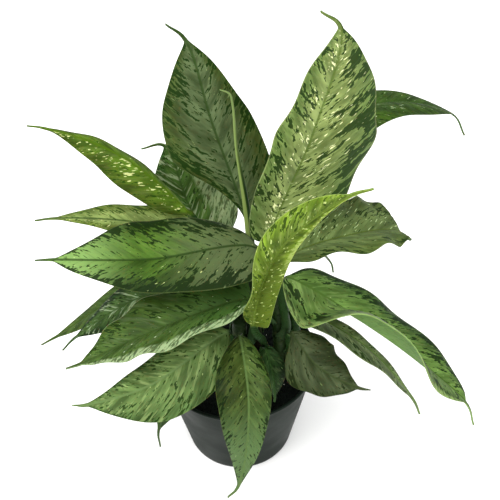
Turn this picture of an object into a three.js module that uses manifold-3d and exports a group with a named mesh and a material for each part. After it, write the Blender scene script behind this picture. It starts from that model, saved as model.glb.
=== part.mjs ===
// Potted dieffenbachia: three short canes in a round nursery pot, each carrying long-stalked leaves.
// Millimetres, +Z up, origin at the centre of the pot's underside, +Y away from the front.
import * as THREE from "three";
import Module from "manifold-3d";

const wasm = await Module();
wasm.setup();

// ---- driving dimensions: pot and potting mix ------------------------------------------------
const POT_H = 120;            // height over the rim
const POT_R_TOP = 78.4;       // outside radius that the wall would have at the rim's height
const POT_R_FOOT = 56;        // outside radius at the foot
const POT_WALL = 1.6;         // wall thickness
const FOOT_EDGE = 1.5;        // bevel round the foot
const RIM_R = 80;             // outside radius of the beaded rim
const BEAD_H = 3.4;           // height of that bead
const BEAD_EDGE = 1;          // bevel round the bead
const FLOOR_T = 2.4;          // thickness of the pot's floor
const DRAIN_R = 5;            // drainage hole radius
const DRAIN_RING = 38;        // ring the drainage holes stand on
const DRAIN_COUNT = 6;
const SOIL_TOP = 105;         // level of the potting mix
const SOIL_CROWN = 2;         // how far it stands up in the middle
const SOIL_EDGE = 1.5;        // how far it sinks at the wall
const SOIL_BENDS = [0.8, 0.4]; // shares of its radius where the surface bends
const SOIL_GAP = 0.4;         // gap between mix and wall
const GAP = 0.3;              // gap between pieces that touch
const CANE_GAP = 1.2;         // gap between a cane and its hole in the mix

// ---- driving dimensions: leaves -------------------------------------------------------------
const LEAF_T = 0.9;           // blade thickness at the margin
const LEAF_T_IN = 1.1;        // and beside the midrib
const SHEATH_H = 20;          // length of a stalk that clasps the cane
const SHEATH_WRAP = [68, 34]; // how far round the cane it reaches to each side, at foot and top
const SHEATH_T = [2.6, 5.2];  // its thickness in the middle, at foot and top
const SHEATH_THIN = 0.75;     // share of that thickness lost at its edges
const LEAN = 5;               // how far a plain stalk leans off the cane at the sheath's top
const STALK_R = [4.2, 3];     // half width of the stalk, below and at the blade
const STALK_DEPTH = 1.15;     // its depth, as a share of that
const STALK_SKIN = 0.5;       // thickness left at its edges
const CHANNEL = 0.35;         // depth of the channel along its upper face, as a share of that
const RIB_H = [3.4, 0.5];     // height of the midrib under the blade, at neck and tip
const RIB_REACH = 0.42;       // share of the half width it fades over
const PEAK = 0.4;             // where along a plain blade it is widest
const BASE = 0.72;            // how round the foot of a plain blade is, less being rounder
const TAPER = 1.12;           // how drawn out its tip is
const TIP_W = 1.7;             // half width where the blade runs out into its drip tip
const TAIL_W = 0.9;           // half width of the drip tip's end
const HALF_LAG = 1.9;         // how far the waves of one half run ahead of the other's, in radians
const CALM = 1.3;             // how soon the margin's waves swell beyond the ends of a blade
const RIB_FADE = 0.6;         // how early along the blade the midrib thins, less being earlier

// ---- fineness -------------------------------------------------------------------------------
const ACROSS = 7;             // points across each face of a leaf
const RINGS_BLADE = 14;       // spans along a blade
const BEND_STEPS = 6;         // straight steps that a half's bend is summed from
const STALK_STATIONS = [0, 0.5, 1, 1.2, 1.4, 1.6, 1.8];
const TAIL_STATIONS = [4.5, 5];
const NEAR = 0.002;           // step along a midrib over which its direction is taken
const CANE_SIDES = 14;
const SPEAR_SIDES = 10;
const SPEAR_RINGS = 16;
const POT_SIDES = 64;
const HOLE_SIDES = 18;
const WELD = 1e4;             // points that round alike at this many parts of a millimetre are joined

// ---- canes ----------------------------------------------------------------------------------
const SCARS = 4;              // rings left on a cane by fallen leaves
const SCAR_DEPTH = 0.3;
const CANES = {
  back: { foot: [18, 26, 96], top: [17, 22, 214], r: 7.5, color: 0x5f7f45 },
  left: { foot: [0, -22, 96], top: [4, -16, 188], r: 7, color: 0x4f7440 },
  right: { foot: [44, -14, 96], top: [40, -10, 204], r: 7, color: 0x4c6f3e },
};

// the rolled new leaf stands on the tallest cane
const SPEAR = {
  path: [
    [17, 22, 215.6], [16, 14, 253], [12, 10, 311], [6, 10, 363], [4, 8, 409], [2, 7, 418], [-5, 5, 423],
  ],
  radii: [5.2, 4.4, 2.9, 1.5, 0.9, 0.9, 0.4],
  color: 0xb9c98a,
};

// ---- leaves ---------------------------------------------------------------------------------
// cane, at: height of the stalk's foot; az: side of the cane it leaves from (degrees from +X)
// lean: how far the stalk leans off the cane at the sheath's top
// peaks, bases, tapers: form of each half's outline
// halves: share of the width each half has; scallop: depth, count and start of the outline's waves
// lifts: half, place, spread and degrees by which that half is raised there
// neck, mid, tip, tail: points the midrib runs through, tail being the end of the drip tip
// face: where the upper face looks at mid
// fold: how far each half rises from the midrib; droop: how far it bends back toward its margin
// wave: height, count and start of the margin's waves
const LEAVES = [
  { name: "leaf_tall_back", cane: "back", at: 192, az: 100, width: 86, color: 0x5f8a4c,
    peaks: [0.41, 0.28], bases: [2.3, 1.5], tapers: [1.1, 1.15], halves: [1, 0.86], neck: [14, 30, 262],
    mid: [-14, 35, 374], tip: [-29, 19, 457], tail: [-41, 6, 476], face: [0.1, -1, 0.3], fold: [14, 14],
    droop: [30, 30], wave: [2, 3, 0] },
  { name: "leaf_tall_front", cane: "right", at: 182, az: 190, width: 90, color: 0x6a9a52,
    peaks: [0.38, 0.38], bases: [0.5, 0.42], tapers: [0.75, 1.2], halves: [0.72, 1.22],
    scallop: [0.03, 4, 0.1], neck: [31, -12, 281], mid: [64, -22, 400], tip: [76, -50, 500],
    tail: [62, -60, 516], face: [0.25, -1, 0.3], fold: [26, 12], droop: [30, 30], wave: [2, 3, 0.3] },
  { name: "leaf_right_back", cane: "back", at: 172, az: 35, width: 54, color: 0x3f6f35,
    tapers: [1.12, 0.85], halves: [1, 1.15], neck: [51, 45, 281], mid: [115, 72, 360],
    tip: [203, 100, 334], tail: [220, 104, 307], face: [0, 0, 1], fold: [20, 20], droop: [40, 40],
    wave: [1, 3, 0] },
  { name: "leaf_right_mid", cane: "right", at: 156, az: 60, width: 76, color: 0x6d8a5c,
    peaks: [0.7, 0.5], tapers: [0.24, 0.34], halves: [1.25, 0.85], scallop: [0.05, 4, 0.3],
    neck: [46, 15, 232], mid: [123, 44, 241], tip: [162, 62, 224], tail: [167, 63, 216],
    face: [0, 0.05, 1], fold: [24, 24], droop: [30, 30], wave: [3, 3.5, 0] },
  { name: "leaf_young", cane: "right", at: 132, az: 225, width: 36, color: 0x9dbb4e, peaks: [0.7, 0.15],
    bases: [0.6, 0.3], tapers: [0.9, 1.4], halves: [1.2, 0.85], lifts: [[0, 0.28, 0.16, 50]],
    neck: [17, -49, 217], mid: [40, -62, 322], tip: [88, -72, 380], tail: [104, -74, 387],
    face: [0.2, -0.75, 0.6], fold: [25, 25], droop: [20, 20], wave: [0.6, 3, 0] },
  { name: "leaf_left_high", cane: "back", at: 172, az: 200, width: 56, lean: 8, color: 0x6f9a45,
    peaks: [0.3, 0.42], tapers: [1.4, 1.12], halves: [0.84, 0.45], scallop: [0.05, 3, 0],
    neck: [-38, 30, 280], mid: [-96, 30, 349], tip: [-147, 24, 379], tail: [-161, 20, 385],
    face: [0.4, -0.5, 0.8], fold: [-14, -24], droop: [30, 30], wave: [1, 3, 0] },
  { name: "leaf_left_back", cane: "back", at: 138, az: 170, width: 48, lean: 8, color: 0x7fa04f,
    tapers: [1.3, 1.12], halves: [0.7, 1], neck: [-18, 42, 239], mid: [-96, 44, 261],
    tip: [-163, 40, 270], tail: [-181, 38, 270], face: [0, -0.1, 1], fold: [18, 18], droop: [40, 40],
    wave: [1, 3, 0] },
  { name: "leaf_left_main", cane: "left", at: 164, az: 50, width: 78, color: 0x77a05c, peaks: [0.2, 0.5],
    bases: [0.3, 0.8], tapers: [0.95, 1.45], halves: [0.96, 1.05], neck: [21, -5, 268],
    mid: [-71, -28, 280], tip: [-151, -30, 284], tail: [-166, -30, 284], face: [0, -0.35, 1],
    fold: [14, 14], droop: [36, 36], wave: [2, 3, 0] },
  { name: "leaf_left_strip", cane: "back", at: 116, az: 215, width: 56, lean: 8, color: 0x6f9f4a,
    halves: [1, 0.7], neck: [-20, 22, 194], mid: [-84, 35, 188], tip: [-186, 22, 126],
    tail: [-202, 20, 117], face: [0, -0.2, 1], fold: [20, 20], droop: [40, 40], wave: [1, 3, 0] },
  { name: "leaf_left_low_back", cane: "left", at: 142, az: 110, width: 64, lean: 7, color: 0x4f7a45,
    halves: [1, 0.8], neck: [-2, -6, 214], mid: [-83, 4, 203], tip: [-155, -8, 160],
    tail: [-171, -10, 143], face: [0, -0.3, 1], fold: [16, 16], droop: [40, 40], wave: [1, 3, 0] },
  { name: "leaf_left_low", cane: "left", at: 152, az: 320, width: 78, lean: 6, color: 0x6c9650,
    bases: [0.66, 0.22], halves: [0.78, 0.83], neck: [16, -31, 231], mid: [-74, -56, 219],
    tip: [-135, -74, 200], tail: [-148, -76, 197], face: [-0.1, -0.1, 1], fold: [30, 30],
    droop: [30, 30], wave: [3, 4, 0] },
  { name: "leaf_front_left", cane: "left", at: 128, az: 230, width: 76, lean: 7, color: 0x7aa556,
    peaks: [0.36, 0.36], tapers: [1.4, 1.4], halves: [1, 0.6], neck: [-6, -40, 198],
    mid: [-75, -84, 181], tip: [-130, -104, 181], tail: [-139, -108, 187], face: [-0.3, -0.7, 1],
    fold: [14, 14], droop: [36, 36], wave: [2, 3, 0] },
  { name: "leaf_front_drop", cane: "left", at: 116, az: 280, width: 56, lean: 8, color: 0x7fac5a,
    peaks: [0.4, 0.4], bases: [1.1, 1.1], tapers: [1.25, 1.25], halves: [0.72, 1], neck: [4, -46, 201],
    mid: [11, -112, 187], tip: [-1, -128, 84], tail: [-11, -129, 66], face: [0, -1, 0.3], fold: [26, 26],
    droop: [40, 40], wave: [2, 3, 0] },
  { name: "leaf_front_small", cane: "right", at: 110, az: 200, width: 26, lean: 10, color: 0x3f6540,
    neck: [27, -45, 180], mid: [33, -60, 164], tip: [35, -66, 137], tail: [35, -68, 130],
    face: [0.3, -0.8, 0.5], fold: [40, 40], droop: [40, 40], wave: [0, 3, 0] },
  { name: "leaf_front_right", cane: "right", at: 118, az: 310, width: 58, lean: 8, color: 0x6a7d54,
    bases: [0.9, 1.8], tapers: [1.0, 1.0], halves: [0.88, 0.98], scallop: [0.04, 4, 0.2],
    neck: [50, -36, 191], mid: [73, -66, 180], tip: [109, -80, 165], tail: [120, -82, 164],
    face: [0.2, -0.6, 1], fold: [12, 12], droop: [36, 36], wave: [2, 3, 0] },
  { name: "leaf_right_low", cane: "right", at: 142, az: 350, width: 46, lean: 8, color: 0x4f7f42,
    peaks: [0.34, 0.34], bases: [0.6, 0.6], tapers: [1.2, 1.2], halves: [0.32, 1],
    scallop: [0.1, 3, 0.3], neck: [54, -12, 196], mid: [114, -52, 192], tip: [163, -74, 137],
    tail: [171, -77, 119], face: [0.3, 0, 1], fold: [34, 34], droop: [36, 36], wave: [1, 3, 0] },
  { name: "leaf_right_long", cane: "right", at: 164, az: 300, width: 74, color: 0x72a057,
    peaks: [0.46, 0.46], bases: [0.6, 0.8], tapers: [0.5, 0.95], halves: [1, 1.15],
    lifts: [[1, 0.2, 0.12, -55], [1, 0.42, 0.12, 25], [1, 0.6, 0.2, 50]], neck: [45, -24, 250],
    mid: [115, -70, 236], tip: [197, -108, 179], tail: [209, -111, 149], face: [0.35, 0, 1],
    fold: [20, 20], droop: [40, 40], wave: [2, 3, 0] },
  { name: "leaf_back_left", cane: "back", at: 152, az: 90, width: 84, lean: 8, color: 0x4a7540,
    peaks: [0.36, 0.36], bases: [1.1, 1.1], neck: [-14, 57, 195], mid: [-43, 75, 254],
    tip: [-61, 77, 322], tail: [-81, 73, 321], face: [0.2, -1, 0.5], fold: [2, 20], droop: [14, 30],
    wave: [3, 3, 0] },
  { name: "leaf_back_right", cane: "back", at: 120, az: 60, width: 44, lean: 8, color: 0x5f8f48,
    neck: [32, 45, 203], mid: [66, 68, 207], tip: [99, 82, 166], tail: [103, 83, 150],
    face: [0.3, 0.3, 1], fold: [18, 18], droop: [36, 36], wave: [1, 3, 0] },
  { name: "leaf_front_under", cane: "left", at: 112, az: 150, width: 46, lean: 8, color: 0x5c8a45,
    neck: [-20, -30, 160], mid: [-56, -54, 142], tip: [-77, -72, 95], tail: [-78, -74, 69],
    face: [-0.5, -0.5, 1], fold: [18, 18], droop: [36, 36], wave: [0, 3, 0] },
];

const POT_COLOR = 0x4a4f4b;
const SOIL_COLOR = 0x1c1713;
const POT_ROUGHNESS = 0.55;
const SOIL_ROUGHNESS = 0.95;
const PLANT_ROUGHNESS = 0.45;

// ---- helpers --------------------------------------------------------------------------------
const vec = (a) => new THREE.Vector3(a[0], a[1], a[2]);
const rad = THREE.MathUtils.degToRad;
const mix = (a, b, f) => a + (b - a) * f;
const smooth = (f) => THREE.MathUtils.smoothstep(f, 0, 1);
const squareTo = (v, t) => v.clone().addScaledVector(t, -v.dot(t)).normalize();

const group = new THREE.Group();
group.name = "potted_dieffenbachia";

function addMesh(name, positions, indices, color, roughness) {
  const geometry = new THREE.BufferGeometry();
  geometry.setAttribute("position", new THREE.Float32BufferAttribute(positions, 3));
  geometry.setIndex(indices);
  geometry.computeVertexNormals();
  const mesh = new THREE.Mesh(geometry, new THREE.MeshStandardMaterial({ color, roughness, metalness: 0 }));
  mesh.name = name;
  group.add(mesh);
}

// closed skin over rings of equal size; a blade's rings run out along its upper face and back
// along its lower one, and both faces are split alike
function addSkin(name, rings, isBlade, color) {
  const n = rings[0].length;
  const positions = rings.flat().flatMap((p) => [p.x, p.y, p.z]);
  const indices = [];
  for (let i = 0; i + 1 < rings.length; i++) {
    for (let j = 0; j < n; j++) {
      const a = i * n + j;
      const b = i * n + (j + 1) % n;
      const c = a + n;
      const d = b + n;
      if (j < n / 2) indices.push(a, b, d, a, d, c);
      else indices.push(a, b, c, b, d, c);
    }
  }
  const last = (rings.length - 1) * n;
  if (isBlade) {
    for (let j = 0; j + 1 < n / 2; j++) {
      const b = j + 1;
      const c = n - 1 - j;
      const d = n - 2 - j;
      indices.push(j, c, d, j, d, b);
      indices.push(last + j, last + d, last + c, last + j, last + b, last + d);
    }
  } else {
    for (let j = 1; j + 1 < n; j++) {
      indices.push(0, j + 1, j);
      indices.push(last, last + j, last + j + 1);
    }
  }
  addMesh(name, positions, indices, color, PLANT_ROUGHNESS);
}

// ---- sections of a leaf: x, y of its upper face and x, y of its lower one at u, -1 to 1 -----
// crescent that hugs the cane and narrows upward
function sheathSection(s, u, inner) {
  const a = u * rad(mix(...SHEATH_WRAP, smooth(s)));
  const outer = inner + mix(...SHEATH_T, smooth(s)) * (1 - SHEATH_THIN * u * u);
  return [inner * Math.sin(a), inner * (1 - Math.cos(a)), outer * Math.sin(a), inner - outer * Math.cos(a)];
}

// half round with a shallow channel
function stalkSection(s, u) {
  const r = mix(...STALK_R, s - 1);
  const a = u * Math.PI / 2;
  const y = CHANNEL * r * u * u;
  return [u * r, y, r * Math.sin(a), y - STALK_DEPTH * r * Math.cos(a) - STALK_SKIN];
}

// share of the widest half width at t along the blade
function outline(t, peak, base, taper) {
  if (t < peak) return Math.sin(Math.PI / 2 * (t / peak) ** base);
  return Math.sin(Math.PI / 2 * (1 - t) / (1 - peak)) ** taper;
}

// two halves that rise from the midrib and bend back toward the margin
function bladeSection(spec, s, u) {
  const { peaks = [PEAK, PEAK], bases = [BASE, BASE], tapers = [TAPER, TAPER] } = spec;
  const { halves = [1, 1], lifts = [], scallop = [0, 0, 0], wave } = spec;
  const t = Math.min((s - 2) / 2, 1);
  const half = u > 0 ? 1 : 0;
  const side = u < 0 ? -1 : 1;
  const share = Math.abs(u);
  const full = outline(t, peaks[half], bases[half], tapers[half]);
  const ripple = ([size, count, start]) => {
    return size * Math.sin(2 * Math.PI * (count * t + start) + HALF_LAG * half);
  };
  const halfWidth = Math.hypot(
    spec.width / 2 * full * (1 + ripple(scallop)) * halves[half], mix(TIP_W, TAIL_W, Math.max(0, s - 4)));
  let rise = rad(spec.fold[half]);
  for (const [which, place, spread, extra] of lifts) {
    if (which === half) rise += rad(extra) * Math.exp(-(((t - place) / spread) ** 2));
  }
  const bend = rad(spec.droop[half]) * share;
  let x = 0;
  let y = ripple(wave) * u * u * Math.min(1, full * CALM);
  for (let i = 0; i < BEND_STEPS; i++) {
    const angle = rise - bend * (i + 0.5) / BEND_STEPS;
    x += side * halfWidth * share * Math.cos(angle) / BEND_STEPS;
    y += halfWidth * share * Math.sin(angle) / BEND_STEPS;
  }
  const rib = mix(...RIB_H, smooth(t ** RIB_FADE)) * Math.max(0, 1 - share / RIB_REACH);
  const thick = mix(LEAF_T_IN, LEAF_T, share) + rib;
  const slope = side * (rise - bend);
  return [x, y, x + Math.sin(slope) * thick, y - Math.cos(slope) * thick];
}

// ---- leaf: sheath at stations 0 to 1, stalk 1 to 2, blade 2 to 4, drip tip 4 to 5 -----------
function addLeaf(spec) {
  const cane = CANES[spec.cane];
  const foot = vec(cane.foot);
  const axis = vec(cane.top).sub(foot).normalize();
  const root = foot.clone().addScaledVector(axis, (spec.at - foot.z) / axis.z);
  const out = squareTo(new THREE.Vector3(Math.cos(rad(spec.az)), Math.sin(rad(spec.az)), 0), axis);
  const inward = out.clone().negate();
  const inner = cane.r + GAP;
  const curve = new THREE.CatmullRomCurve3([
    root.clone().addScaledVector(out, inner),
    root.clone().addScaledVector(out, inner + (spec.lean ?? LEAN)).addScaledVector(axis, SHEATH_H),
    vec(spec.neck), vec(spec.mid), vec(spec.tip), vec(spec.tail)], false, "centripetal");
  const centre = (s) => curve.getPoint(Math.min(Math.max(s, 0), 5) / 5);
  const stations = [...STALK_STATIONS];
  const sheathEnd = stations.indexOf(1);
  const middle = stations.length + RINGS_BLADE / 2;
  for (let i = 0; i <= RINGS_BLADE; i++) stations.push(2 + 2 * i / RINGS_BLADE);
  stations.push(...TAIL_STATIONS);

  const along = stations.map((s) => centre(s + NEAR).sub(centre(s - NEAR)).normalize());
  const up = [];
  up[middle] = squareTo(vec(spec.face), along[middle]);
  for (let i = middle + 1; i < stations.length; i++) up[i] = squareTo(up[i - 1], along[i]);
  for (let i = middle - 1; i >= sheathEnd; i--) up[i] = squareTo(up[i + 1], along[i]);
  // the stalk turns along its length so that its inner face looks at the cane where it leaves it
  const wanted = squareTo(inward, along[sheathEnd]);
  const from = up[sheathEnd];
  const turn = Math.atan2(from.clone().cross(wanted).dot(along[sheathEnd]), from.dot(wanted));
  for (let i = 0; i < sheathEnd; i++) up[i] = squareTo(inward, along[i]);

  const rings = stations.map((s, i) => {
    const angle = i < sheathEnd ? 0 : turn * (1 - smooth(s - 1));
    const y = up[i].clone().applyAxisAngle(along[i], angle);
    const x = along[i].clone().cross(y);
    const place = (px, py) => centre(s).addScaledVector(x, px).addScaledVector(y, py);
    const upper = [];
    const lower = [];
    for (let k = 0; k < ACROSS; k++) {
      const u = 2 * k / (ACROSS - 1) - 1;
      let section = bladeSection;
      if (s <= 1) section = sheathSection;
      else if (s <= 2) section = stalkSection;
      const [ux, uy, lx, ly] = section === bladeSection ? bladeSection(spec, s, u) : section(s, u, inner);
      upper.push(place(ux, uy));
      lower.push(place(lx, ly));
    }
    return upper.concat(lower.reverse());
  });
  addSkin(spec.name, rings, true, spec.color);
}

// ---- round bodies: canes and the rolled leaf ------------------------------------------------
function circle(centre, x, y, r, sides) {
  return Array.from({ length: sides }, (_, j) => {
    const a = 2 * Math.PI * j / sides;
    return centre.clone().addScaledVector(x, r * Math.cos(a)).addScaledVector(y, r * Math.sin(a));
  });
}

function addCane(name, cane) {
  const x = new THREE.Vector3(1, 0, 0);
  const y = new THREE.Vector3(0, 1, 0);
  const rings = [];
  for (let i = 0; i <= 2 * SCARS; i++) {
    const centre = vec(cane.foot).lerp(vec(cane.top), i / (2 * SCARS));
    rings.push(circle(centre, x, y, cane.r - (i % 2 === 0 ? SCAR_DEPTH : 0), CANE_SIDES));
  }
  addSkin("cane_" + name, rings, false, cane.color);
}

function addSpear() {
  const curve = new THREE.CatmullRomCurve3(SPEAR.path.map(vec), false, "centripetal");
  const rings = [];
  let x = new THREE.Vector3(1, 0, 0);
  for (let i = 0; i <= SPEAR_RINGS; i++) {
    const f = i / SPEAR_RINGS;
    const along = curve.getTangent(f);
    x = squareTo(x, along);
    const g = f * (SPEAR.radii.length - 1);
    const k = Math.min(Math.floor(g), SPEAR.radii.length - 2);
    const r = mix(SPEAR.radii[k], SPEAR.radii[k + 1], g - k);
    rings.push(circle(curve.getPoint(f), x, along.clone().cross(x), r, SPEAR_SIDES));
  }
  addSkin("new_leaf_spear", rings, false, SPEAR.color);
}

// ---- pot and potting mix --------------------------------------------------------------------
// a closed body with its seams joined, ready to be cut
function solid(geometry) {
  const { position } = geometry.attributes;
  const found = new Map();
  const vertices = [];
  const joined = [];
  for (let i = 0; i < position.count; i++) {
    const p = [position.getX(i), position.getY(i), position.getZ(i)];
    const key = p.map((v) => Math.round(v * WELD)).join();
    if (!found.has(key)) {
      found.set(key, vertices.length / 3);
      vertices.push(...p);
    }
    joined.push(found.get(key));
  }
  const triangles = [];
  for (let i = 0; i < geometry.index.count; i += 3) {
    const [a, b, c] = [0, 1, 2].map((k) => joined[geometry.index.getX(i + k)]);
    if (a !== b && b !== c && a !== c) triangles.push(a, b, c);
  }
  return new wasm.Manifold(new wasm.Mesh({
    numProp: 3, vertProperties: new Float32Array(vertices), triVerts: new Uint32Array(triangles) }));
}

function addSolid(name, body, color, roughness) {
  const mesh = body.getMesh();
  addMesh(name, Array.from(mesh.vertProperties), Array.from(mesh.triVerts), color, roughness);
}

// a body turned about Z from a profile of [radius, height]
function turned(profile) {
  const geometry = new THREE.LatheGeometry(profile.map(([r, z]) => new THREE.Vector2(r, z)), POT_SIDES);
  return solid(geometry.rotateX(Math.PI / 2));
}

function post(r, x, y, z0, z1) {
  const geometry = new THREE.CylinderGeometry(r, r, z1 - z0, HOLE_SIDES);
  return solid(geometry.rotateX(Math.PI / 2).translate(x, y, (z0 + z1) / 2));
}

// inside radius of the wall at height z
const wallR = (z) => mix(POT_R_FOOT, POT_R_TOP, z / POT_H) - POT_WALL;

function addPot() {
  const under = POT_H - BEAD_H;
  const inside = RIM_R - BEAD_H;
  let pot = turned([
    [0, 0], [POT_R_FOOT - FOOT_EDGE, 0], [POT_R_FOOT, FOOT_EDGE], [wallR(under) + POT_WALL, under],
    [RIM_R, under + BEAD_EDGE], [RIM_R, POT_H - BEAD_EDGE], [RIM_R - BEAD_EDGE, POT_H],
    [inside + BEAD_EDGE, POT_H], [inside, POT_H - BEAD_EDGE], [wallR(under), under],
    [wallR(FLOOR_T), FLOOR_T], [0, FLOOR_T]]);
  for (let i = 0; i < DRAIN_COUNT; i++) {
    const a = 2 * Math.PI * (i + 0.5) / DRAIN_COUNT;
    const [x, y] = [DRAIN_RING * Math.cos(a), DRAIN_RING * Math.sin(a)];
    pot = pot.subtract(post(DRAIN_R, x, y, -GAP, FLOOR_T + GAP));
  }
  addSolid("pot", pot, POT_COLOR, POT_ROUGHNESS);
}

function addPottingMix() {
  const bottom = FLOOR_T + GAP;
  const edge = wallR(SOIL_TOP) - SOIL_GAP;
  const [outer, inner] = SOIL_BENDS;
  let soil = turned([
    [0, bottom], [wallR(bottom) - SOIL_GAP, bottom], [edge, SOIL_TOP - SOIL_EDGE],
    [edge * outer, SOIL_TOP - SOIL_EDGE / 2], [edge * inner, SOIL_TOP + SOIL_CROWN / 2],
    [0, SOIL_TOP + SOIL_CROWN]]);
  for (const { foot: [x, y, z], r } of Object.values(CANES)) {
    soil = soil.subtract(post(r + CANE_GAP, x, y, z - GAP, POT_H));
  }
  addSolid("potting_mix", soil, SOIL_COLOR, SOIL_ROUGHNESS);
}

for (const [name, cane] of Object.entries(CANES)) addCane(name, cane);
for (const spec of LEAVES) addLeaf(spec);
addSpear();
addPot();
addPottingMix();

export default group;
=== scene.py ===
"""A potted dieffenbachia: twenty mottled leaves on three canes, a rolled new leaf, mix and pot."""
import math
import random

import bmesh
import bpy
import numpy as np
from mathutils import Matrix, Vector, noise


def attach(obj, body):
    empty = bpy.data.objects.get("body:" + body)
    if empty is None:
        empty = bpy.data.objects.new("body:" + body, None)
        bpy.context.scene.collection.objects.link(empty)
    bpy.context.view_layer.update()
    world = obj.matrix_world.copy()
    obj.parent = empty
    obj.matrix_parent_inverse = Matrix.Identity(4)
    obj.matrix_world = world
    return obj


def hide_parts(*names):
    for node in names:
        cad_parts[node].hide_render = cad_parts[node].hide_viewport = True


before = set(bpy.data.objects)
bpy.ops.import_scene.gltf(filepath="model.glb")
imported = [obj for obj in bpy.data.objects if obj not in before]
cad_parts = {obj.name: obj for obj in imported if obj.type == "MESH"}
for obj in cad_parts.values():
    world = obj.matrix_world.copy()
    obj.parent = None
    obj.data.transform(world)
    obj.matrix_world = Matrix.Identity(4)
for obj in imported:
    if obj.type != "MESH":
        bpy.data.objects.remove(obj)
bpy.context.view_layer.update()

MM = 0.001                     # one millimetre in metres: lengths below are in millimetres

# ---- driving dimensions, as in the CAD model ------------------------------------------------
POT_H = 120                    # height over the rim
POT_R_TOP = 78.4               # outside radius that the wall would have at the rim's height
POT_R_FOOT = 56                # outside radius at the foot
POT_WALL = 1.6                 # wall thickness
FOOT_EDGE = 1.5                # bevel round the foot
RIM_R = 80                     # outside radius of the beaded rim
BEAD_H = 3.4                   # height of that bead
FLOOR_T = 2.4                  # thickness of the pot's floor
DRAIN_R = 5                    # drainage hole radius
DRAIN_RING = 38                # ring the drainage holes stand on
DRAIN_COUNT = 6
SOIL_TOP = 105                 # level of the potting mix
SOIL_GAP = 0.4                 # gap between mix and wall
GAP = 0.3                      # gap between pieces that touch
CANE_GAP = 1.2                 # gap between a cane and its hole in the mix
LEAF_T = 0.9                   # blade thickness at the margin
LEAF_T_IN = 1.1                # and beside the midrib
SHEATH_H = 20                  # length of a stalk that clasps the cane
SHEATH_WRAP = (68, 34)         # how far round the cane it reaches to each side, at foot and top
SHEATH_T = (2.6, 5.2)          # its thickness in the middle, at foot and top
SHEATH_THIN = 0.75             # share of that thickness lost at its edges
LEAN = 5                       # how far a plain stalk leans off the cane at the sheath's top
STALK_R = (4.2, 3)             # half width of the stalk, below and at the blade
STALK_DEPTH = 1.15             # its depth, as a share of that
STALK_SKIN = 0.5               # thickness left at its edges
CHANNEL = 0.35                 # depth of the channel along its upper face, as a share of that
RIB_H = (3.4, 0.5)             # height of the midrib under the blade, at neck and tip
PEAK = 0.4                     # where along a plain blade it is widest
BASE = 0.72                    # how round the foot of a plain blade is, less being rounder
TAPER = 1.12                   # how drawn out its tip is
TIP_W = 1.7                    # half width where the blade runs out into its drip tip
HALF_LAG = 1.9                 # how far the waves of one half run ahead of the other's, in radians
CALM = 1.3                     # how soon the margin's waves swell beyond the ends of a blade
RIB_FADE = 0.6                 # how early along the blade the midrib thins, less being earlier

CANES = {
    "back": dict(foot=(18, 26, 96), top=(17, 22, 214), r=7.5),
    "left": dict(foot=(0, -22, 96), top=(4, -16, 188), r=7),
    "right": dict(foot=(44, -14, 96), top=(40, -10, 204), r=7),
}
SPEAR_PATH = [(17, 22, 215.6), (16, 14, 253), (12, 10, 311), (6, 10, 363), (4, 8, 409), (2, 7, 418),
              (-5, 5, 423)]
SPEAR_RADII = [5.2, 4.4, 2.9, 1.5, 0.9, 0.9, 0.4]

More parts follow.
